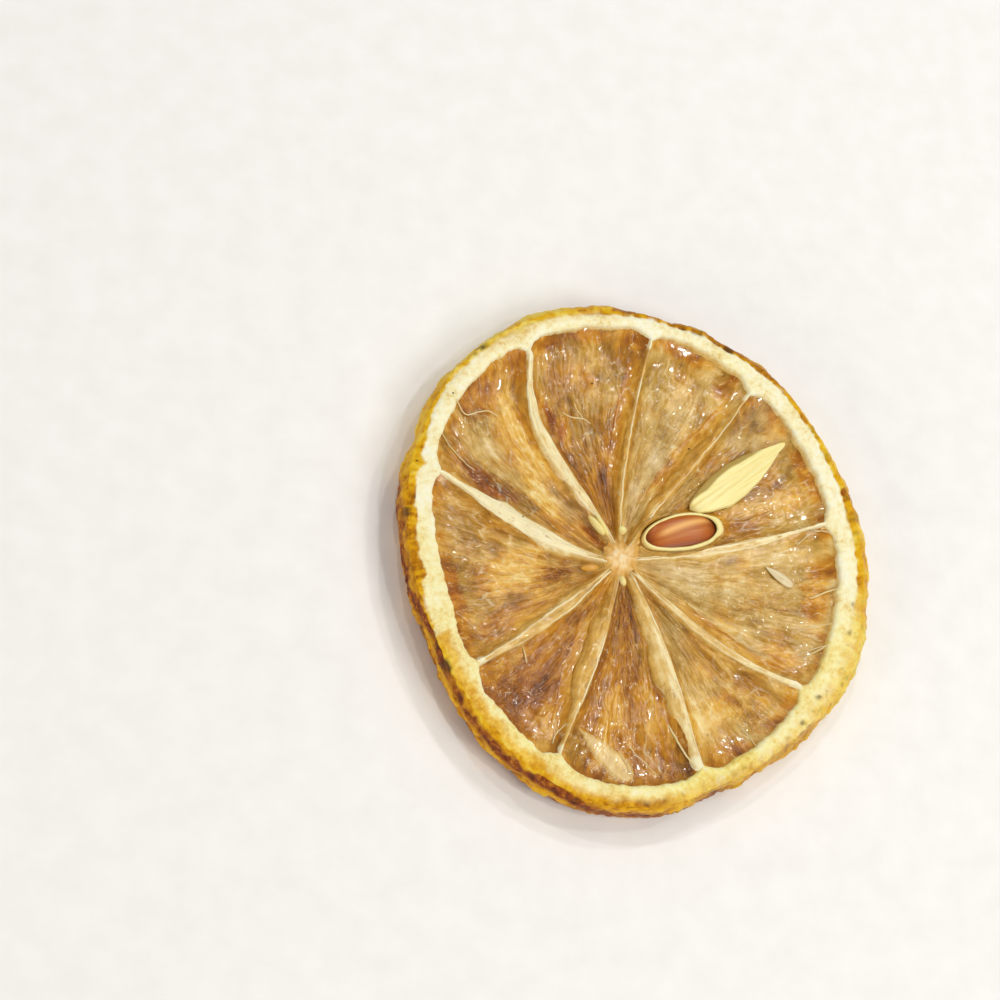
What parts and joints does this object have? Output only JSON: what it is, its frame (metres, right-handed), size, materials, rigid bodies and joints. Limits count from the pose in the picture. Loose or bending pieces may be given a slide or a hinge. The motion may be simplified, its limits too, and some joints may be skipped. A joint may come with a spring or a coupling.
{
  "type": "dried lemon slice",
  "caption": "Round slice of dried lemon lying flat: rind, pith, membranes and sunken pulp, with a whole pale seed and a brown kernel in its opened husk.",
  "frame": {"origin": "middle of the slice's box in plan, on the surface that its back rests on", "axes": "+Z up out of the better cut face; +X to the right and +Y up as that face is seen from above"},
  "size_m": [0.0476, 0.0504, 0.0045],
  "materials": {
    "dried_lemon": "dried citrus: matt cream pith, oily golden rind, glossy amber pulp",
    "pale_seed_coat": "smooth satin straw yellow",
    "brown_seed_skin": "smooth satin chestnut brown"
  },
  "bodies": {
    "root": {"lemon_slice": "dried_lemon", "pale_pip": "pale_seed_coat", "brown_kernel": "brown_seed_skin"}
  },
  "joints": []
}
